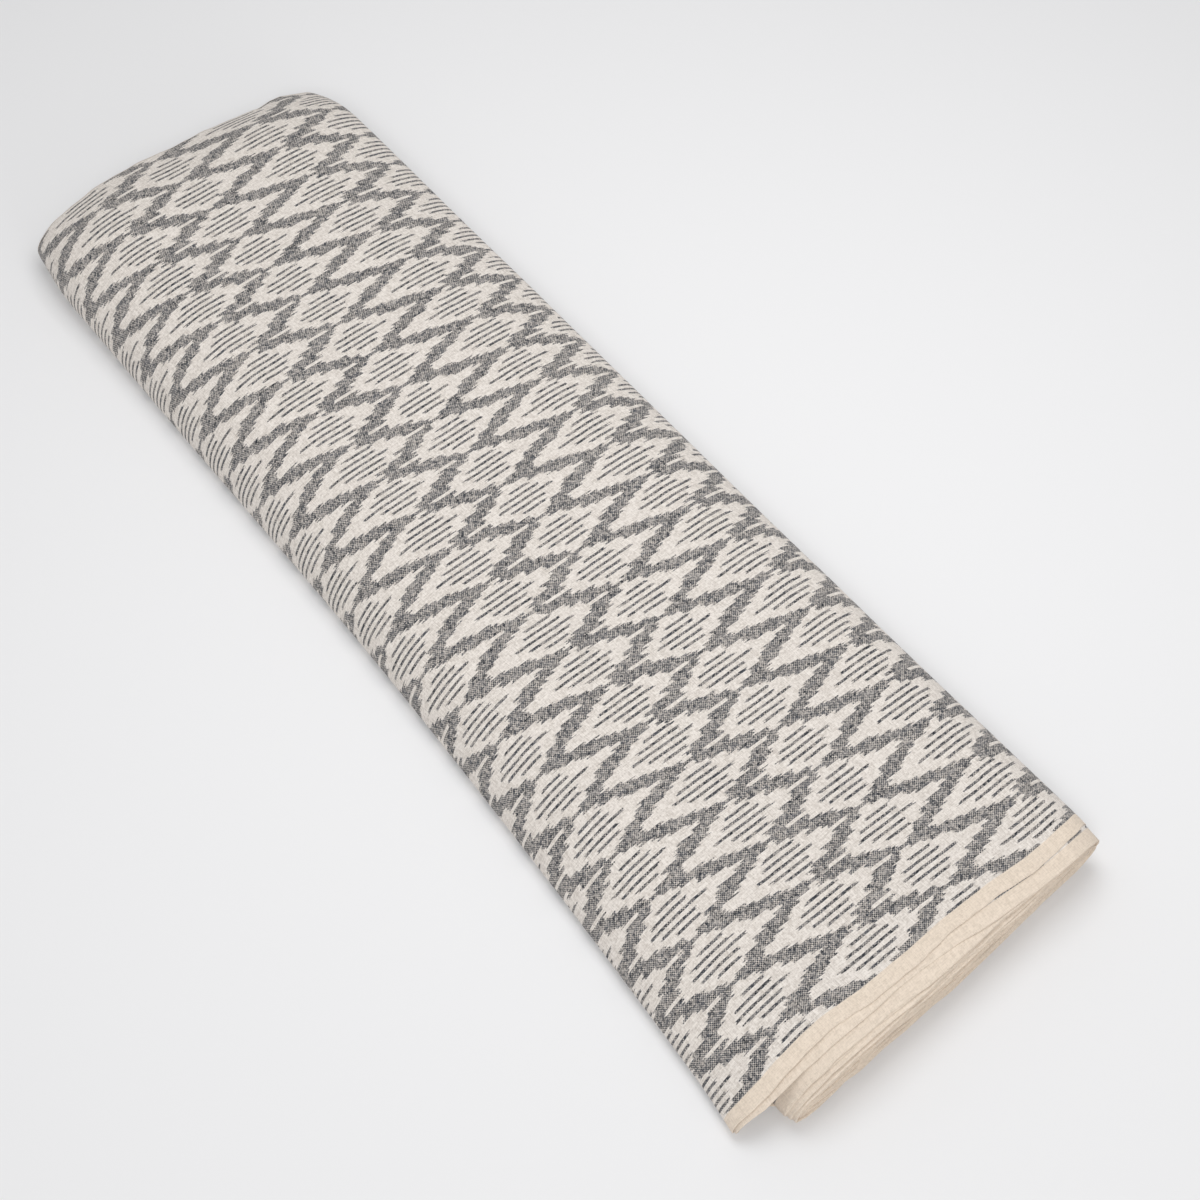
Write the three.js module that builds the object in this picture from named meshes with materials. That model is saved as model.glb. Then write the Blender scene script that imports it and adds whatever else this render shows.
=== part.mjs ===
// A bolt of ikat cotton: one long cloth wound flat, turn on turn, lying on a table.
// Millimetres, +Z up. X runs along the bolt, which is the width of the cloth, and its open end is at +X.
// Y runs across the bolt, which is the way the cloth is wound. The origin is the middle of its footprint.
import * as THREE from "three";

// The outer turn's two ends.
const FAR_END = -571;
const NEAR_END = 546;

// Sections along the bolt. left and right are the outer turn's folds, top its height.
// leftRun and rightRun are how far in from a fold the top starts to round down to it.
// leftNose and rightNose are the heights of the folds' outermost points.
// leftFull and rightFull are the shoulders' fullness: 2 is an ellipse, less is a leaner wedge.
// leftUnder and rightUnder are how far in from a fold the bottom meets the table.
const COLUMNS = [
  "x", "left", "right", "top", "leftRun", "leftNose", "leftFull", "leftUnder",
  "rightRun", "rightNose", "rightFull", "rightUnder",
];
const SECTIONS = [
  [-571, -117, 212, 70, 80, 24, 2.0, 15, 110, 44, 1.65, 26],
  [-511, -128, 215, 70.5, 80, 20, 2.0, 15, 110, 44, 1.65, 26],
  [-461, -130.5, 214, 70, 80, 16, 2.0, 14, 110, 43, 1.65, 26],
  [-311, -138, 207.5, 69, 82, 10, 2.0, 12, 106, 41, 1.65, 26],
  [-11, -155, 195, 66, 86, 9, 1.9, 13, 80, 36, 1.8, 24],
  [239, -177, 184, 61, 90, 8, 1.75, 16, 56, 32, 2.0, 21],
  [489, -205.5, 176, 57, 98, 7, 1.6, 20, 38, 29, 2.0, 19],
  [546, -215, 174.5, 56, 98, 7, 1.6, 22, 36, 28, 2.0, 18],
];

// Where the outer turns reach past the inner ones at the far end, they droop.
// A row is a place across the bolt, and how far the top has sunk there at the very end.
const DROOP_LENGTH = 75;
const DROOP = [
  [-120, 17],
  [-70, 17],
  [-30, 12],
  [0, 10.5],
  [30, 14],
  [60, 16.5],
  [90, 18.5],
  [130, 22],
  [150, 23],
  [170, 19],
  [188, 25],
  [215, 31],
];

// At the near end the loose turns sink by this share of their height, from SLUMP_START on.
const SLUMP_START = 526;
const SLUMP_END = 571;
const SLUMP = 0.12;

// Stations between the ends, closer where the form changes faster.
const STATIONS = [
  -571, -562, -550, -535, -517, -497, -475, -450, -410, -350, -280, -200, -110, -11,
  80, 160, 239, 310, 380, 440, 489, 520, 546,
];

// How far each group of turns stands out past NEAR_END, by the place across the bolt.
// The same turns lie that far back inside the mouth at the far end.
const SLIP_COLUMNS = ["y", "outer", "second", "middle", "inner"];
const SLIPS = [
  [-215, -0.5, 0.8, 16, 20.5],
  [-184, 0.8, 7.2, 17, 22.5],
  [-150, -0.8, 8, 17.8, 24],
  [-130, -1.5, 7.8, 18, 24.5],
  [-73, 1.0, 6, 16.5, 22],
  [0, -1.5, 6.5, 15, 19.5],
  [60, -1.5, 12, 14, 15.5],
  [120, 0.5, 14.5, 12.5, 12],
  [150, -2, 12, 10, 10],
  [171, -7, 8.8, 7, 8],
];

// The outer turn's own edge strays only close to the end.
const STRAY_LENGTH = 60;

// Low down every turn stands out less than at the top, by this much at the table.
// A row is a place across the bolt and the amount.
const UNDERCUTS = [
  [-215, 2],
  [-150, 3.5],
  [60, 3.5],
  [150, 7],
];

// The groups under the outer turn, and how far inside its outline each one's lies.
// tuck is how much shorter the left shoulder is, for a fold that lies inside the flap.
const NEAR_GROUPS = [
  { slips: "second", left: 1.2, right: 1.2, top: 1.2, bottom: 1.2, tuck: 0, flap: true },
  { slips: "middle", left: 39, right: 2.4, top: 2.4, bottom: 2.4, tuck: 37 },
  { slips: "inner", left: 41.5, right: 7, top: 7, bottom: 7, tuck: 37 },
];
const FAR_GROUPS = [
  { slips: "middle", left: 6, right: 5, top: 5, bottom: 4, tuck: 0 },
  { slips: "inner", left: 14, right: 12, top: 12, bottom: 10, tuck: 0 },
];

// A shorter shoulder is fuller too, by this much for each millimetre.
const FULLER = 0.017;

// At the near end the outer turns' left fold is a flat flap. Its underside stands clear of the table,
// and its edge there lies back behind the top one.
const FLAP_START = 426;
const FLAP_WIDTH = 52;
const FLAP_LIFT = 20;
const FLAP_BACK = 9;

const OUTER = { slips: "outer", left: 0, right: 0, top: 0, bottom: 0, tuck: 0, flap: true };

// Steps along each stretch of an outline.
const FLOOR_STEPS = 6;
const FLAP_STEPS = 4;
const UNDER_STEPS = 3;
const RIGHT_STEPS = 9;
const TOP_STEPS = 9;
const LEFT_STEPS = 9;

// The value at x of a curve through the rows [x, value], smooth and level with its neighbours.
function through(rows, x) {
  const last = rows.length - 1;
  if (x <= rows[0][0]) return rows[0][1];
  if (x >= rows[last][0]) return rows[last][1];
  const i = rows.findIndex((row, k) => x >= row[0] && x < rows[k + 1][0]);
  const slope = (k) => {
    const a = rows[Math.max(k - 1, 0)];
    const b = rows[Math.min(k + 1, last)];
    return (b[1] - a[1]) / (b[0] - a[0]);
  };
  const [x0, v0] = rows[i];
  const [x1, v1] = rows[i + 1];
  const span = x1 - x0;
  const t = (x - x0) / span;
  const bend = v0 * (1 + 2 * t) * (1 - t) ** 2 + v1 * t * t * (3 - 2 * t);
  return bend + span * t * (1 - t) * (slope(i) * (1 - t) - slope(i + 1) * t);
}

// The section's named sizes at a place along the bolt.
function sectionAt(x) {
  const columns = COLUMNS.slice(1).map((name, k) => {
    const rows = SECTIONS.map((row) => [row[0], row[k + 1]]);
    return [name, through(rows, x)];
  });
  return Object.fromEntries(columns);
}

// How much of its height the cloth keeps at a place, once both ends have sunk.
function upright(x, y, top) {
  const near = THREE.MathUtils.clamp((x - FAR_END) / DROOP_LENGTH, 0, 1);
  const slump = SLUMP * THREE.MathUtils.smoothstep(x, SLUMP_START, SLUMP_END);
  return (1 - (through(DROOP, y) / top) * (1 - near) ** 2) * (1 - slump);
}

// How much of the flap's lift and of its setting back a place on its underside has.
function flapShare(x, fromFold) {
  const grown = THREE.MathUtils.smoothstep(x, FLAP_START, NEAR_END);
  const place = THREE.MathUtils.clamp((2 * fromFold) / FLAP_WIDTH - 1, -1, 1);
  return grown * Math.cos((place * Math.PI) / 2) ** 2;
}

// How far a group's edge stands out at a place across the bolt and a share of its height.
function slipAt(name, y, share) {
  const column = SLIP_COLUMNS.indexOf(name);
  const slip = through(SLIPS.map((row) => [row[0], row[column]]), y);
  return slip - through(UNDERCUTS, y) * (1 - share) ** 2;
}

// One outline across the bolt: the table, the right fold, the top, the left fold.
// Its points are [y, z, back], where back is how far the point lies set back.
function outline(x, inset) {
  const s = sectionAt(x);
  const left = s.left + inset.left;
  const right = s.right - inset.right;
  const top = s.top - inset.top;
  const bottom = inset.bottom;
  const squash = (top - bottom) / s.top;
  const leftNose = bottom + s.leftNose * squash;
  const rightNose = bottom + s.rightNose * squash;
  const rightPower = 2 / s.rightFull;
  const leftRun = s.leftRun - inset.tuck;
  const leftPower = 2 / (s.leftFull + FULLER * inset.tuck);
  const points = [];
  const arc = (steps, place) => {
    for (let k = 0; k < steps; k++) points.push(place((k / steps) * (Math.PI / 2)));
  };
  const underside = (fromFold, z) => {
    const share = inset.flap ? flapShare(x, fromFold) : 0;
    return [left + fromFold, z + FLAP_LIFT * share, FLAP_BACK * share];
  };
  for (let k = 0; k < FLAP_STEPS; k++) {
    const fromFold = s.leftUnder + ((FLAP_WIDTH - s.leftUnder) * k) / FLAP_STEPS;
    points.push(underside(fromFold, bottom));
  }
  for (let k = 0; k < FLOOR_STEPS; k++) {
    const from = left + FLAP_WIDTH;
    const to = right - s.rightUnder;
    points.push([from + ((to - from) * k) / FLOOR_STEPS, bottom, 0]);
  }
  arc(UNDER_STEPS, (a) => [
    right - s.rightUnder * (1 - Math.sin(a)),
    rightNose - (rightNose - bottom) * Math.cos(a),
    0,
  ]);
  arc(RIGHT_STEPS, (a) => [
    right - s.rightRun * (1 - Math.cos(a) ** rightPower),
    rightNose + (top - rightNose) * Math.sin(a) ** rightPower,
    0,
  ]);
  for (let k = 0; k < TOP_STEPS; k++) {
    const from = right - s.rightRun;
    const to = left + leftRun;
    points.push([from + ((to - from) * k) / TOP_STEPS, top, 0]);
  }
  arc(LEFT_STEPS, (a) => [
    left + leftRun * (1 - Math.sin(a) ** leftPower),
    leftNose + (top - leftNose) * Math.cos(a) ** leftPower,
    0,
  ]);
  arc(UNDER_STEPS, (a) => {
    const fromFold = s.leftUnder * (1 - Math.cos(a));
    return underside(fromFold, leftNose - (leftNose - bottom) * Math.sin(a));
  });
  return points;
}

// The rings of points that the skin is drawn over, from the middle of one end to the other's.
function rings() {
  const list = [];
  const ring = (at, inset, edge) => {
    const { top } = sectionAt(at);
    const points = outline(at, inset).map(([y, z, back]) => {
      const x = at + edge(y, z / top) - back;
      return [x, y, z * upright(x, y, top)];
    });
    list.push(points);
  };
  const straight = () => 0;
  const slipped = (group) => (y, share) => slipAt(group.slips, y, share);
  const strayed = (x) => (y, share) =>
    slipAt("outer", y, share) * Math.exp((x - NEAR_END) / STRAY_LENGTH);
  for (let k = FAR_GROUPS.length - 1; k >= 0; k--) {
    ring(FAR_END, FAR_GROUPS[k], slipped(FAR_GROUPS[k]));
    ring(FAR_END, FAR_GROUPS[k], k > 0 ? slipped(FAR_GROUPS[k - 1]) : straight);
  }
  for (const x of STATIONS) ring(x, OUTER, strayed(x));
  let edge = strayed(NEAR_END);
  for (const group of NEAR_GROUPS) {
    ring(NEAR_END, group, edge);
    edge = slipped(group);
    ring(NEAR_END, group, edge);
  }
  return list;
}

// One closed skin over the rings, with a fan of faces to the middle of each end.
function skinOver(list) {
  const count = list[0].length;
  const positions = list.flat(2);
  const faces = [];
  const at = (ring, k) => ring * count + (k % count);
  for (let r = 0; r < list.length - 1; r++) {
    for (let k = 0; k < count; k++) {
      faces.push(at(r, k), at(r, k + 1), at(r + 1, k + 1));
      faces.push(at(r, k), at(r + 1, k + 1), at(r + 1, k));
    }
  }
  const cap = (ring, facing) => {
    const middle = positions.length / 3;
    for (let axis = 0; axis < 3; axis++) {
      const sum = list[ring].reduce((total, point) => total + point[axis], 0);
      positions.push(sum / count);
    }
    for (let k = 0; k < count; k++) {
      const pair = [at(ring, k), at(ring, k + 1)];
      faces.push(middle, pair[facing > 0 ? 0 : 1], pair[facing > 0 ? 1 : 0]);
    }
  };
  cap(0, -1);
  cap(list.length - 1, 1);
  const skin = new THREE.BufferGeometry();
  skin.setAttribute("position", new THREE.Float32BufferAttribute(positions, 3));
  skin.setIndex(faces);
  skin.computeVertexNormals();
  return skin;
}

function clothMaterial() {
  return new THREE.MeshStandardMaterial({ color: 0xb9b3ab, roughness: 0.95, metalness: 0 });
}

function woundCloth() {
  const cloth = new THREE.Mesh(skinOver(rings()), clothMaterial());
  cloth.name = "wound_cloth";
  return cloth;
}

const bolt = new THREE.Group();
bolt.add(woundCloth());

export default bolt;
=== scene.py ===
"""A bolt of ikat cotton, wound flat, on a pale studio floor.

The cloth is one sheet: its width runs along the bolt (X) and its length is wound round it.
The sheet is laid out turn by turn from the bolt's sections, the same ones as the solid's.
Every point keeps its place on the flat cloth as a UV, and the ikat is drawn from that.
"""
import math

import bpy
import numpy as np
from mathutils import Matrix, Vector


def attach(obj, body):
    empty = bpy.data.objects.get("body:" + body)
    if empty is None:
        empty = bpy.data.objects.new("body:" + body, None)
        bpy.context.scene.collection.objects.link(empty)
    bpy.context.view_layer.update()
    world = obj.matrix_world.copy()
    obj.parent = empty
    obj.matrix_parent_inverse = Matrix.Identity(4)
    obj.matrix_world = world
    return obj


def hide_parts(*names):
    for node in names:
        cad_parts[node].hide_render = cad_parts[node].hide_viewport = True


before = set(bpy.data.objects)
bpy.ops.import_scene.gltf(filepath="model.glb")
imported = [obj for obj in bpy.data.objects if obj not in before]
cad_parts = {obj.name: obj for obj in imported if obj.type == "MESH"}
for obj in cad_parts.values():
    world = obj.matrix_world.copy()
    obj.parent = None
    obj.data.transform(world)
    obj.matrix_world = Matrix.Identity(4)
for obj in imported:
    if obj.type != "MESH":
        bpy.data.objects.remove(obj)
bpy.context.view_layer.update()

MM = 0.001

# Sizes of the bolt in millimetres, as in the solid
FAR_END = -571.0
NEAR_END = 546.0
CLOTH_WIDTH = NEAR_END - FAR_END
COLUMNS = (
    "x", "left", "right", "top", "left_run", "left_nose", "left_full", "left_under",
    "right_run", "right_nose", "right_full", "right_under",
)
SECTIONS = np.array([
    (-571, -117, 212, 70, 80, 24, 2.0, 15, 110, 44, 1.65, 26),
    (-511, -128, 215, 70.5, 80, 20, 2.0, 15, 110, 44, 1.65, 26),
    (-461, -130.5, 214, 70, 80, 16, 2.0, 14, 110, 43, 1.65, 26),
    (-311, -138, 207.5, 69, 82, 10, 2.0, 12, 106, 41, 1.65, 26),
    (-11, -155, 195, 66, 86, 9, 1.9, 13, 80, 36, 1.8, 24),
    (239, -177, 184, 61, 90, 8, 1.75, 16, 56, 32, 2.0, 21),
    (489, -205.5, 176, 57, 98, 7, 1.6, 20, 38, 29, 2.0, 19),
    (546, -215, 174.5, 56, 98, 7, 1.6, 22, 36, 28, 2.0, 18),
])
DROOP_LENGTH = 75.0
DROOP = np.array([
    (-120, 17), (-70, 17), (-30, 12), (0, 10.5), (30, 14), (60, 16.5), (90, 18.5), (130, 22),
    (150, 23), (170, 19), (188, 25), (215, 31),
])
SLUMP_START = 526.0
SLUMP_END = 571.0
SLUMP = 0.12
FLAP_START = 426.0
FLAP_WIDTH = 52.0
FLAP_LIFT = 20.0
FLAP_BACK = 9.0
INNER_LEFT = -177.0
# How much fuller the inner turns' left shoulder is for each millimetre that it is shorter
FULLER = 0.017

# How far each group of turns stands out past the near end, by the place across the bolt
SLIP_COLUMNS = ("y", "outer", "second", "middle", "inner")
SLIPS = np.array([
    (-215, -0.5, 0.8, 16, 20.5),
    (-184, 0.8, 7.2, 17, 22.5),
    (-150, -0.8, 8, 17.8, 24),
    (-130, -1.5, 7.8, 18, 24.5),
    (-73, 1.0, 6, 16.5, 22),
    (0, -1.5, 6.5, 15, 19.5),
    (60, -1.5, 12, 14, 15.5),
    (120, 0.5, 14.5, 12.5, 12),
    (150, -2, 12, 10, 10),
    (171, -7, 8.8, 7, 8),
])
# How much less every turn stands out at the table, by the place across the bolt
UNDERCUTS = np.array([(-215, 2), (-150, 3.5), (60, 3.5), (150, 7)])
STRAY_LENGTH = 60.0

# The groups of turns, from the outer one in: how many, and their column among the slips
GROUPS = ((1, 0.0), (1, 1.0), (2, 2.0), (2, 2.6), (20, 3.0))
TURN_PITCH = 0.92
GROUP_GAP = 0.25
THICKNESS = 0.42

# Steps along each stretch of a turn: on the outer turn, and on the ones inside it
STRETCHES = (
    ("floor_out", 10, 5),
    ("right_under", 6, 3),
    ("right_flank", 12, 6),
    ("top", 40, 12),
    ("left_flank", 28, 10),
    ("left_under", 6, 3),
    ("floor_in", 6, 4),
)
SEAM = 0.15

# Stations across the cloth's width, from its near edge
NEAR_STATIONS = (0, 1.5, 4, 8, 13, 19, 27, 37, 50, 70, 95, 125)
FAR_STATIONS = (100, 75, 58, 44, 32, 22, 14, 7, 2, 0)
MIDDLE_STATIONS = 13

# The ikat's repeat. Columns run round the bolt, one for each bundle of yarns.
COLUMN_PITCH = 48.8
COLUMN_ZERO = -511.0
WARP_REPEAT = 180.0
# Where the first row of eyes lies across the bolt's top, column by column
ROW_DRIFT = np.array([
    (0, 78), (3, 78), (5, 83.5), (6.5, 86), (8, 82), (9, 79.5), (10, 81), (11, 83), (12, 87),
    (13, 91), (15, 96), (22, 95),
])
TOP_TO_ROWS = 145.5


def hermite(places, values, x):
    """The value at x of a smooth curve through the rows, as in the solid."""
    x = np.clip(x, places[0], places[-1])
    i = np.clip(np.searchsorted(places, x, side="right") - 1, 0, len(places) - 2)
    before = np.maximum(np.arange(len(places)) - 1, 0)
    after = np.minimum(np.arange(len(places)) + 1, len(places) - 1)
    slope = (values[after] - values[before]) / (places[after] - places[before])
    span = places[i + 1] - places[i]
    t = (x - places[i]) / span
    bend = values[i] * (1 + 2 * t) * (1 - t) ** 2 + values[i + 1] * t * t * (3 - 2 * t)
    return bend + span * t * (1 - t) * (slope[i] * (1 - t) - slope[i + 1] * t)


def section(x):
    """The named sizes of the bolt's section at each x."""
    return {
        name: hermite(SECTIONS[:, 0], SECTIONS[:, k], x)
        for k, name in enumerate(COLUMNS)
        if name != "x"
    }


def smooth(t):
    t = np.clip(t, 0.0, 1.0)
    return t * t * (3 - 2 * t)


def waves(*terms):
    """A sum of sines: each term is amplitude times sin(phase)."""
    return sum(amplitude * np.sin(phase) for amplitude, phase in terms)


def turn_tables():
    """For each turn's start: its depth in the stack, its column among the slips, and its own stray."""
    turns = [count for count, _ in GROUPS]
    group = np.repeat(np.arange(len(GROUPS)), turns)
    depth = np.arange(len(group)) * TURN_PITCH + group * GROUP_GAP
    column = np.array([slips for _, slips in GROUPS])[group]
    depth = np.append(depth, depth[-1] + TURN_PITCH)
    column = np.append(column, column[-1])
    stray = np.sin(2.3 * np.arange(len(column))) * (column > 2)
    return depth, column, stray


def rows_of_turns():
    """One row for each line of points along the bolt: its turn, its stretch and its share of it."""
    turn, stretch, share = [], [], []
    for k in range(sum(turns for turns, _ in GROUPS)):
        for code, (_, outer_steps, inner_steps) in enumerate(STRETCHES):
            steps = outer_steps if k == 0 else inner_steps
            for step in range(steps):
                turn.append(k)
                stretch.append(code)
                share.append(step / steps)
    turn.append(turn[-1])
    stretch.append(len(STRETCHES) - 1)
    share.append(1.0)
    return np.array(turn), np.array(stretch), np.array(share)


def stations():
    """Distances from the cloth's near edge to its far one."""
    middle = np.linspace(NEAR_STATIONS[-1], CLOTH_WIDTH - FAR_STATIONS[0], MIDDLE_STATIONS + 2)
    return np.concatenate([NEAR_STATIONS, middle[1:-1], CLOTH_WIDTH - np.array(FAR_STATIONS)])


def wound_points():
    """Points of the wound sheet, one row round the bolt for each line, and their places on the cloth."""
    turn, stretch, share = rows_of_turns()
    depth_at, column_at, stray_at = turn_tables()
    names = [name for name, _, _ in STRETCHES]
    seam = smooth(np.where(stretch == names.index("floor_in"), share, 0.0))
    depth = (depth_at[turn] + (depth_at[turn + 1] - depth_at[turn]) * seam)[:, None]
    column = (column_at[turn] + (column_at[turn + 1] - column_at[turn]) * seam)[:, None]
    stray = (stray_at[turn] + (stray_at[turn + 1] - stray_at[turn]) * seam)[:, None]
    inside = np.clip(column - 1, 0, 1)
    width = stations()[None, :]
    x = NEAR_END - width + 0 * depth

    s = section(x)
    scale = s["top"] / SECTIONS[-1, 3]
    inset = depth * scale
    own_left = s["left"]
    past = inside * np.maximum(0.0, INNER_LEFT - own_left)
    left = own_left + inset * (1 - 0.5 * past / (INNER_LEFT - SECTIONS[-1, 1])) + past
    right = s["right"] - inset
    top = s["top"] - inset
    bottom = inset
    squash = (top - bottom) / s["top"]
    left_nose = bottom + s["left_nose"] * squash
    right_nose = bottom + s["right_nose"] * squash

    a = (share * math.pi / 2)[:, None]
    t = share[:, None]
    left_run = s["left_run"] - past
    left_power = 2 / (s["left_full"] + FULLER * past)
    right_power = 2 / s["right_full"]
    floor_from = left + s["left_under"]
    floor_to = right - s["right_under"]
    seam_y = floor_from + SEAM * (floor_to - floor_from)
    top_from = right - s["right_run"]
    top_to = left + left_run
    shapes = {
        "floor_out": (seam_y + (floor_to - seam_y) * t, bottom),
        "right_under": (
            right - s["right_under"] * (1 - np.sin(a)),
            right_nose - (right_nose - bottom) * np.cos(a),
        ),
        "right_flank": (
            right - s["right_run"] * (1 - np.cos(a) ** right_power),
            right_nose + (top - right_nose) * np.sin(a) ** right_power,
        ),
        "top": (top_from + (top_to - top_from) * t, top),
        "left_flank": (
            left + left_run * (1 - np.sin(a) ** left_power),
            left_nose + (top - left_nose) * np.cos(a) ** left_power,
        ),
        "left_under": (
            left + s["left_under"] * (1 - np.cos(a)),
            left_nose - (left_nose - bottom) * np.sin(a),
        ),
        "floor_in": (floor_from + (seam_y - floor_from) * t, bottom),
    }
    y, z = np.zeros(x.shape), np.zeros(x.shape)
    for code, name in enumerate(names):
        mine = stretch == code
        y[mine] = (shapes[name][0] + 0 * x)[mine]
        z[mine] = (shapes[name][1] + 0 * x)[mine]

    flap = flap_share(x, y - own_left, stretch, names) * (1 - inside)
    z += FLAP_LIFT * flap
    x = x + slipped(y, z / s["top"], width, column) + stray - FLAP_BACK * flap
    z *= uprightness(x, y, s["top"])
    arc = np.zeros(x.shape)
    arc[1:] = np.cumsum(np.hypot(np.diff(y, axis=0), np.diff(z, axis=0)), axis=0)
    length = cloth_length(arc, y, turn, stretch, names)
    x, z = unevenness(x, y, z, s["top"], width, arc, turn[:, None])
    return np.stack([x, y, z], -1) * MM, width + 0 * x, length, arc


def slipped(y, share, width, column):
    """How far each point's turn stands out past the near end."""
    undercut = hermite(UNDERCUTS[:, 0], UNDERCUTS[:, 1], y) * (1 - share) ** 2
    at = [hermite(SLIPS[:, 0], SLIPS[:, k], y) - undercut for k in range(1, len(SLIP_COLUMNS))]
    at[0] = at[0] * np.exp(-width / STRAY_LENGTH)
    low = np.clip(np.floor(column), 0, len(at) - 2).astype(int)
    below = np.choose(low, at[:-1])
    above = np.choose(low, at[1:])
    return below + (above - below) * (column - low)


def flap_share(x, from_fold, stretch, names):
    """How much of the near end's flap's lift and setting back each point of its underside has."""
    under = (stretch == names.index("left_under")) | (stretch == names.index("floor_in"))
    place = np.clip(2 * from_fold / FLAP_WIDTH - 1, -1, 1)
    grown = smooth((x - FLAP_START) / (NEAR_END - FLAP_START))
    return under[:, None] * grown * np.cos(place * math.pi / 2) ** 2


def uprightness(x, y, top):
    """How much of its height the cloth keeps, once both ends have sunk."""
    near = np.clip((x - FAR_END) / DROOP_LENGTH, 0, 1)
    slump = SLUMP * smooth((x - SLUMP_START) / (SLUMP_END - SLUMP_START))
    return (1 - hermite(DROOP[:, 0], DROOP[:, 1], y) / top * (1 - near) ** 2) * (1 - slump)


def cloth_length(arc, y, turn, stretch, names):
    """Each point's place along the cloth, measured so that on the top it matches the ikat's rows."""
    top_rows = np.nonzero((turn == 0) & (stretch == names.index("top")))[0]
    middle = top_rows[len(top_rows) // 2]
    own = TOP_TO_ROWS + y[middle] - (arc - arc[middle])
    station = arc.shape[1] // 2
    shared = TOP_TO_ROWS + y[middle, station] - (arc[:, station] - arc[middle, station])
    seam = np.where(turn == 0, np.where(stretch == names.index("floor_in"), 0.5, 0.0), 1.0)[:, None]
    return own * (1 - seam) + shared[:, None] * seam


def unevenness(x, y, z, top, width, arc, turn):
    """Soft rise and fall of the top, and the waves of the two woven edges."""
    share = z / top
    z = z + share * waves(
        (0.55, x / 61 + y / 47),
        (0.45, x / 37 - y / 29 + 1.7),
        (0.30, x / 23 + y / 19 + 0.6),
    )
    near = np.exp(-width / 16.0)
    far = np.exp(-(CLOTH_WIDTH - width) / 16.0)
    edge = waves(
        (1.3 * (turn > 1), y / 55 + 0.8 * turn),
        (0.75, arc / 21 + 2.1 * turn),
        (0.45, arc / 9.3 + 4.7 * turn),
        (0.25, arc / 4.1 + 1.3 * turn),
    )
    x = x + edge * (near - far)
    z = z + share * (near + far) * waves((0.45, arc / 33 + 0.35 * turn), (0.25, y / 14))
    return x, z


def wound_cloth():
    """The whole cloth as one thin sheet."""
    points, width, length, arc = wound_points()
    rows, columns = width.shape
    index = np.arange(rows * columns).reshape(rows, columns)
    faces = np.stack([index[:-1, :-1], index[:-1, 1:], index[1:, 1:], index[1:, :-1]], -1)
    faces = faces.reshape(-1, 4)
    mesh = bpy.data.meshes.new("bolt_cloth")
    mesh.from_pydata(points.reshape(-1, 3).tolist(), [], faces.tolist())
    column = (NEAR_END - COLUMN_ZERO - width) / COLUMN_PITCH
    drift = np.interp(column, ROW_DRIFT[:, 0], ROW_DRIFT[:, 1])
    flat = np.stack([width, length - drift], -1).reshape(-1, 2) * MM
    layer = mesh.uv_layers.new(name="cloth")
    corner = np.zeros(len(mesh.loops), np.int32)
    mesh.loops.foreach_get("vertex_index", corner)
    layer.data.foreach_set("uv", flat[corner].ravel())
    mesh.polygons.foreach_set("use_smooth", np.ones(len(mesh.polygons), bool))
    mesh.update()
    cloth = bpy.data.objects.new("bolt_cloth", mesh)
    bpy.context.collection.objects.link(cloth)
    solid = cloth.modifiers.new("thickness", "SOLIDIFY")
    solid.thickness = THICKNESS * MM
    solid.offset = -1
    return cloth, arc[-1, columns // 2] * MM


class Shader:
    """A material's node tree, with short calls for the nodes that this script uses."""

    def __init__(self, name):
        self.material = bpy.data.materials.new(name)
        self.material.use_nodes = True
        self.tree = self.material.node_tree
        self.tree.nodes.clear()

    def node(self, kind, **settings):
        made = self.tree.nodes.new(kind)
        for key, value in settings.items():
            setattr(made, key, value)
        return made

    def feed(self, socket, value):
        if isinstance(value, bpy.types.NodeSocket):
            self.tree.links.new(value, socket)
        else:
            socket.default_value = value

    def calc(self, operation, *values):
        made = self.node("ShaderNodeMath", operation=operation)
        for socket, value in zip(made.inputs, values):
            self.feed(socket, value)
        return made.outputs[0]

    def ease(self, value, low, high, to_low=0.0, to_high=1.0):
        made = self.node("ShaderNodeMapRange", interpolation_type="SMOOTHSTEP")
        for socket, number in zip(made.inputs, (value, low, high, to_low, to_high)):
            self.feed(socket, number)
        return made.outputs[0]

    def vector(self, x, y, z=0.0):
        made = self.node("ShaderNodeCombineXYZ")
        for socket, value in zip(made.inputs, (x, y, z)):
            self.feed(socket, value)
        return made.outputs[0]

    def noise(self, place, scale=1.0, detail=1.0):
        """Smooth noise from -1 to 1."""
        made = self.node("ShaderNodeTexNoise", noise_dimensions="3D")
        self.feed(made.inputs["Vector"], place)
        made.inputs["Scale"].default_value = scale
        made.inputs["Detail"].default_value = detail
        return self.calc("MULTIPLY_ADD", made.outputs["Fac"], 2.0, -1.0)

    def white(self, place):
        """Unrelated values from 0 to 1, one for each whole place."""
        made = self.node("ShaderNodeTexWhiteNoise", noise_dimensions="3D")
        self.feed(made.inputs["Vector"], place)
        return made.outputs["Value"]

    def mix(self, share, low, high):
        made = self.node("ShaderNodeMix", data_type="RGBA")
        self.feed(made.inputs["Factor"], share)
        self.feed(made.inputs["A"], low)
        self.feed(made.inputs["B"], high)
        return made.outputs["Result"]

    def table(self, share, rows):
        """Steps of equal width, each holding three numbers from 0 to 1."""
        made = self.node("ShaderNodeValToRGB")
        ramp = made.color_ramp
        ramp.interpolation = "CONSTANT"
        for k, row in enumerate(rows):
            stop = ramp.elements[k] if k < 2 else ramp.elements.new(k / len(rows))
            stop.position = k / len(rows)
            stop.color = (*row, 1.0)
        self.feed(made.inputs[0], share)
        split = self.node("ShaderNodeSeparateColor")
        self.tree.links.new(made.outputs["Color"], split.inputs[0])
        return split.outputs[:3]


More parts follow.
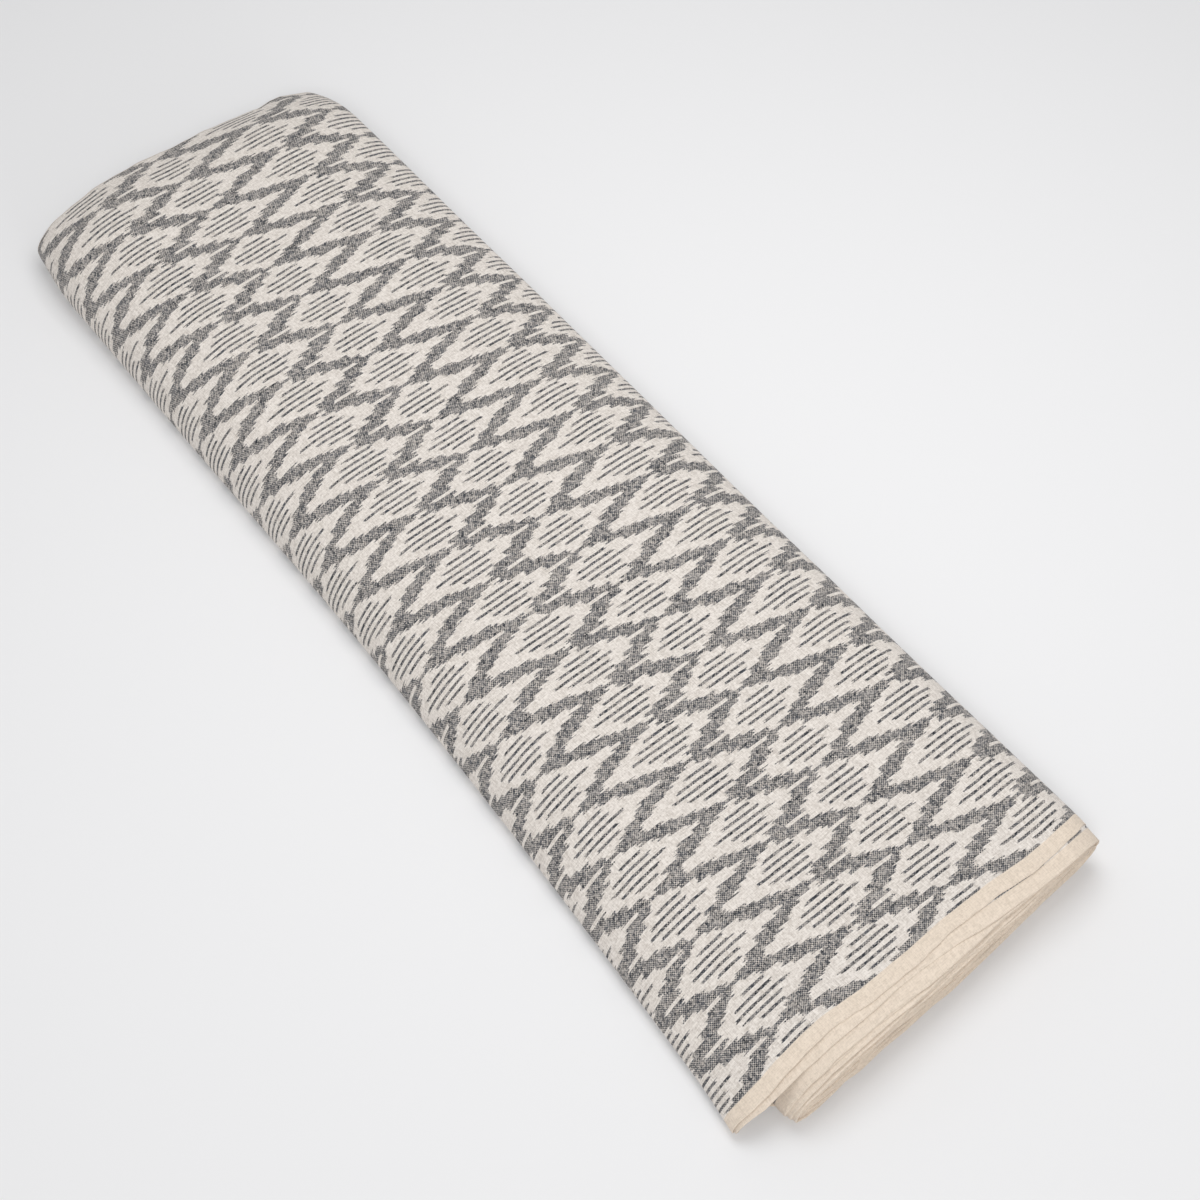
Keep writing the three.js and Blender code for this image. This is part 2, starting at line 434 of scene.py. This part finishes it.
def linear(red, green, blue):
    """A screen colour from 0 to 255 as a linear one."""
    def one(value):
        value /= 255
        return value / 12.92 if value <= 0.04045 else ((value + 0.055) / 1.055) ** 2.4
    return (one(red), one(green), one(blue), 1.0)


# Colours of the yarns
CREAM = linear(242, 235, 228)
CREAM_SHADE = linear(196, 187, 178)
SELVAGE = linear(238, 223, 206)
SELVAGE_SHADE = linear(213, 198, 181)
DYE = linear(32, 35, 41)
DYE_PALE = linear(72, 75, 82)

# The ikat's motif, by half bundles out from an eye's column, in millimetres along the cloth.
# After the half bundle come the zigzag's upper and lower arms, the eye, and the next column's eye.
# Each pair is where a dyed length starts and ends. None is undyed.
MOTIF = (
    (0, (86, 118), (71, 90), (-30, 34), None),
    (1, (92, 120), (51, 81), None, None),
    (2, (103, 134), (48, 78), (-18, 24), None),
    (3, (106, 142), (35, 67), None, None),
    (4, (120, 154), (36, 66), (-8, 20), (80, 104)),
    (5, (122, 161), (20, 57), None, None),
    (6, (130, 171), (10, 47), None, (68, 107)),
    (7, (146, 183), (13, 49), None, None),
    (8, (156, 196), (4, 28), None, (62, 120)),
)
HALF_BUNDLES = 8

# The motif's millimetres are held in a colour table as shares of this span, from this start
MOTIF_SPAN = 200.0
MOTIF_START = 0.1

# Millimetres from one warp yarn, and from one weft yarn, to the next
YARN = 1.15
WEFT = 1.20

# How far bundles and single yarns have slid, and how ragged the ends of a dyed length are
BUNDLE_SLIDE = 5.0
YARN_SLIDE = 4.2
FEATHER = 3.2

# How much of the dye shows where the weft lies on top
BAND_UNDER = 0.45
STRIPE_UNDER = 0.62

# The plain edges, and how soft the pattern's end is there
SELVAGE_WIDTH = 13.0
FAR_SELVAGE_WIDTH = 0.8
SELVAGE_BLUR = 0.4

# The yarns' relief, in millimetres, and how much of it shows
RELIEF_DEPTH = 0.16
RELIEF_STRENGTH = 0.6


def motif_tables(sh, step):
    """Centre and half length of each dyed length at a half bundle, in millimetres."""
    values = []
    for row in MOTIF:
        numbers = []
        for pair in row[1:]:
            low, high = pair if pair else (0, 0)
            numbers += [(low + high) / 2 / MOTIF_SPAN + MOTIF_START, (high - low) / 2 / MOTIF_SPAN]
        values.append(numbers + [0.0])
    share = sh.calc("DIVIDE", sh.calc("ADD", step, 0.5), float(len(MOTIF)))
    flat = []
    for start in (0, 3, 6):
        flat += list(sh.table(share, [row[start:start + 3] for row in values]))
    centres = [
        sh.calc("MULTIPLY", sh.calc("SUBTRACT", flat[k], MOTIF_START), MOTIF_SPAN) for k in (0, 2, 4, 6)
    ]
    halves = [sh.calc("MULTIPLY", flat[k], MOTIF_SPAN) for k in (1, 3, 5, 7)]
    return centres, halves


def ikat_material():
    """Cream cotton with grey ikat in its warp: bands in a zigzag net, and striped eyes in its meshes."""
    sh = Shader("ikat_cotton")
    place = sh.node("ShaderNodeUVMap", uv_map="cloth").outputs[0]
    split = sh.node("ShaderNodeSeparateXYZ")
    sh.tree.links.new(place, split.inputs[0])
    across = sh.calc("MULTIPLY", split.outputs[0], 1000.0)
    along = sh.calc("MULTIPLY", split.outputs[1], 1000.0)

    # Bundles of warp yarns, which were tied and dyed together
    sway = sh.calc("MULTIPLY", sh.noise(sh.vector(across, along), 0.045, 2.0), 0.7)
    column = sh.calc(
        "DIVIDE", sh.calc("SUBTRACT", NEAR_END - COLUMN_ZERO, sh.calc("ADD", across, sway)), COLUMN_PITCH
    )
    halves = sh.calc("MULTIPLY", column, float(2 * HALF_BUNDLES))
    bundle = sh.calc("ROUND", halves)
    repeats = sh.calc("DIVIDE", bundle, 2.0 * HALF_BUNDLES)
    from_eye = sh.calc("ABSOLUTE", sh.calc("WRAP", repeats, 0.5, -0.5))
    step = sh.calc("ROUND", sh.calc("MULTIPLY", from_eye, 2.0 * HALF_BUNDLES))
    off_middle = sh.calc("ABSOLUTE", sh.calc("SUBTRACT", halves, bundle))

    # Each bundle and each yarn has slid a little along the cloth
    bundle_place = sh.vector(sh.calc("MULTIPLY", bundle, 7.31), sh.calc("DIVIDE", along, 55.0))
    bundle_slide = sh.noise(bundle_place, 1.0, 0.0)
    yarn = sh.calc("FLOOR", sh.calc("DIVIDE", across, YARN))
    yarn_place = sh.vector(sh.calc("MULTIPLY", yarn, 5.17), sh.calc("DIVIDE", along, 26.0), 3.3)
    yarn_slide = sh.noise(yarn_place, 1.0, 0.0)
    slid = sh.calc("ADD", along, sh.calc("MULTIPLY", bundle_slide, BUNDLE_SLIDE))
    slid = sh.calc("ADD", slid, sh.calc("MULTIPLY", yarn_slide, YARN_SLIDE))

    centres, lengths = motif_tables(sh, step)
    depths = []
    for centre, half in zip(centres, lengths):
        away = sh.calc("WRAP", sh.calc("SUBTRACT", slid, centre), WARP_REPEAT / 2, -WARP_REPEAT / 2)
        inside = sh.calc("SUBTRACT", half, sh.calc("ABSOLUTE", away))
        present = sh.calc("GREATER_THAN", half, 1.0)
        depths.append(sh.calc("MULTIPLY_ADD", present, sh.calc("ADD", inside, 50.0), -50.0))
    fray = sh.noise(sh.vector(yarn, sh.calc("DIVIDE", along, 14.0), 9.1), 1.7, 0.0)
    feather = sh.calc("MULTIPLY", fray, FEATHER)
    band = sh.ease(sh.calc("ADD", sh.calc("MAXIMUM", depths[0], depths[1]), feather), -1.0, 1.2)
    stripe = sh.ease(sh.calc("ADD", sh.calc("MAXIMUM", depths[2], depths[3]), feather), -1.0, 1.2)
    wander = sh.noise(sh.vector(bundle, along), 0.21, 1.0)
    slim = sh.calc("ADD", off_middle, sh.calc("MULTIPLY", wander, 0.09))
    stripe = sh.calc("MULTIPLY", stripe, sh.ease(slim, 0.34, 0.46, 1.0, 0.0))

    # The selvages are plain
    far_selvage = CLOTH_WIDTH - FAR_SELVAGE_WIDTH
    printed = sh.calc(
        "MULTIPLY",
        sh.ease(across, SELVAGE_WIDTH - SELVAGE_BLUR, SELVAGE_WIDTH + SELVAGE_BLUR),
        sh.ease(across, far_selvage - SELVAGE_BLUR, far_selvage + SELVAGE_BLUR, 1.0, 0.0),
    )
    band = sh.calc("MULTIPLY", band, printed)
    stripe = sh.calc("MULTIPLY", stripe, printed)

    # Plain weave: the dyed warp shows whole where it lies on top, and in part where the weft does
    weft = sh.calc("FLOOR", sh.calc("DIVIDE", along, WEFT))
    over = sh.calc("FLOORED_MODULO", sh.calc("ADD", yarn, weft), 2.0)
    dyed = sh.calc("MAXIMUM", band, stripe)
    under = sh.calc("MULTIPLY_ADD", stripe, STRIPE_UNDER - BAND_UNDER, BAND_UNDER)
    weave = sh.calc("ADD", under, sh.calc("MULTIPLY", over, sh.calc("SUBTRACT", 1.0, under)))
    fleck = sh.calc("MULTIPLY_ADD", sh.white(sh.vector(yarn, weft)), 0.70, -0.35)
    warp_pair = sh.calc("FLOOR", sh.calc("DIVIDE", yarn, 2.0))
    weft_pair = sh.calc("FLOOR", sh.calc("DIVIDE", weft, 2.0))
    patch = sh.calc("MULTIPLY_ADD", sh.white(sh.vector(warp_pair, weft_pair, 6.0)), 0.50, -0.25)
    grain = sh.calc("ADD", fleck, patch)
    clump_place = sh.vector(sh.calc("DIVIDE", across, 2.2), sh.calc("DIVIDE", along, 3.4), 4.0)
    clump = sh.noise(clump_place, 1.0, 2.0)
    weave = sh.calc("ADD", weave, sh.calc("ADD", grain, sh.calc("MULTIPLY", clump, 0.12)))
    shown = sh.calc("MINIMUM", sh.calc("MAXIMUM", sh.calc("MULTIPLY", weave, dyed), 0.0), 1.0)

    # Colours
    depth = sh.white(sh.vector(yarn, sh.calc("FLOOR", sh.calc("DIVIDE", along, 7.0)), 2.0))
    dye = sh.mix(depth, DYE, DYE_PALE)
    slub_place = sh.vector(sh.calc("DIVIDE", across, 0.8), sh.calc("DIVIDE", along, 9.0), 7.0)
    slub = sh.noise(slub_place, 1.0, 3.0)
    weft_place = sh.vector(sh.calc("DIVIDE", across, 12.0), sh.calc("DIVIDE", along, 0.9), 5.0)
    slub_weft = sh.noise(weft_place, 1.0, 3.0)
    tone = sh.calc("ADD", sh.calc("ADD", slub, slub_weft), grain)
    tone = sh.ease(tone, -1.3, 1.0)
    cream = sh.mix(printed, sh.mix(tone, SELVAGE_SHADE, SELVAGE), sh.mix(tone, CREAM_SHADE, CREAM))
    colour = sh.mix(shown, cream, dye)

    # The yarns' own relief
    ridge = sh.calc("SINE", sh.calc("MULTIPLY", across, 2 * math.pi / YARN))
    rung = sh.calc("SINE", sh.calc("MULTIPLY", along, 2 * math.pi / WEFT))
    relief = sh.calc("ADD", sh.calc("MULTIPLY", ridge, rung), sh.calc("MULTIPLY", slub, 1.4))
    bump = sh.node("ShaderNodeBump")
    bump.inputs["Strength"].default_value = RELIEF_STRENGTH
    bump.inputs["Distance"].default_value = RELIEF_DEPTH * MM
    sh.feed(bump.inputs["Height"], relief)

    surface = sh.node("ShaderNodeBsdfPrincipled")
    surface.inputs["Roughness"].default_value = 0.92
    surface.inputs["Specular IOR Level"].default_value = 0.25
    surface.inputs["Sheen Weight"].default_value = 0.12
    surface.inputs["Sheen Roughness"].default_value = 0.6
    sh.feed(surface.inputs["Base Color"], colour)
    sh.feed(surface.inputs["Normal"], bump.outputs[0])
    output = sh.node("ShaderNodeOutputMaterial")
    sh.tree.links.new(surface.outputs[0], output.inputs[0])
    return sh.material


def plain_material(name, colour, roughness):
    sh = Shader(name)
    surface = sh.node("ShaderNodeBsdfPrincipled")
    surface.inputs["Base Color"].default_value = colour
    surface.inputs["Roughness"].default_value = roughness
    surface.inputs["Specular IOR Level"].default_value = 0.1
    output = sh.node("ShaderNodeOutputMaterial")
    sh.tree.links.new(surface.outputs[0], output.inputs[0])
    return sh.material


# The photograph's view: the camera's place, and the way from the bolt to it
CAMERA_AT = Vector((1.1310, -0.8225, 1.8420))
CAMERA_BACK = Vector((0.4558, -0.3759, 0.8067))
CAMERA_RIGHT = Vector((0.6450, 0.7640, -0.0086))
LENS = 78.0
SENSOR = 36.0

# The studio's lights: name, place, size in metres, power in watts
LIGHTS = (
    ("overhead", (0.0, 0.3, 1.45), 1.0, 8.5),
    ("key", (3.0, -2.6, 4.0), 1.8, 80.0),
    ("fill", (3.4, -0.5, 0.9), 1.4, 15.0),
)
WORLD_STRENGTH = 0.51
FLOOR_HALF = 5.0
FLOOR = linear(237, 237, 238)


def place_camera():
    data = bpy.data.cameras.new("camera")
    data.lens = LENS
    data.sensor_width = SENSOR
    camera = bpy.data.objects.new("camera", data)
    bpy.context.collection.objects.link(camera)
    back = CAMERA_BACK.normalized()
    right = (CAMERA_RIGHT - back * CAMERA_RIGHT.dot(back)).normalized()
    up = back.cross(right)
    turn = Matrix((right, up, back)).transposed().to_4x4()
    camera.matrix_world = Matrix.Translation(CAMERA_AT) @ turn
    bpy.context.scene.camera = camera


def place_light(name, at, size, power):
    """A square soft light that faces the bolt."""
    data = bpy.data.lights.new(name, "AREA")
    data.size = size
    data.energy = power
    light = bpy.data.objects.new(name, data)
    bpy.context.collection.objects.link(light)
    light.location = at
    light.rotation_euler = Vector(at).to_track_quat("Z", "Y").to_euler()


def build_stage():
    mesh = bpy.data.meshes.new("floor")
    signs = ((-1, -1), (1, -1), (1, 1), (-1, 1))
    corners = [(a * FLOOR_HALF, b * FLOOR_HALF, 0) for a, b in signs]
    mesh.from_pydata(corners, [], [(0, 1, 2, 3)])
    floor = bpy.data.objects.new("floor", mesh)
    bpy.context.collection.objects.link(floor)
    floor.data.materials.append(plain_material("studio_floor", FLOOR, 0.9))

    world = bpy.data.worlds.new("studio")
    bpy.context.scene.world = world
    world.use_nodes = True
    background = world.node_tree.nodes["Background"]
    background.inputs["Color"].default_value = (1.0, 1.0, 1.0, 1.0)
    background.inputs["Strength"].default_value = WORLD_STRENGTH
    for name, at, size, power in LIGHTS:
        place_light(name, at, size, power)
    bpy.context.scene.view_settings.view_transform = "Standard"
    bpy.context.scene.view_settings.look = "None"


place_camera()
build_stage()
cloth, cloth_run = wound_cloth()
cloth.data.materials.append(ikat_material())
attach(cloth, "root")
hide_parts("wound_cloth")
print("cloth length", round(cloth_run, 3))
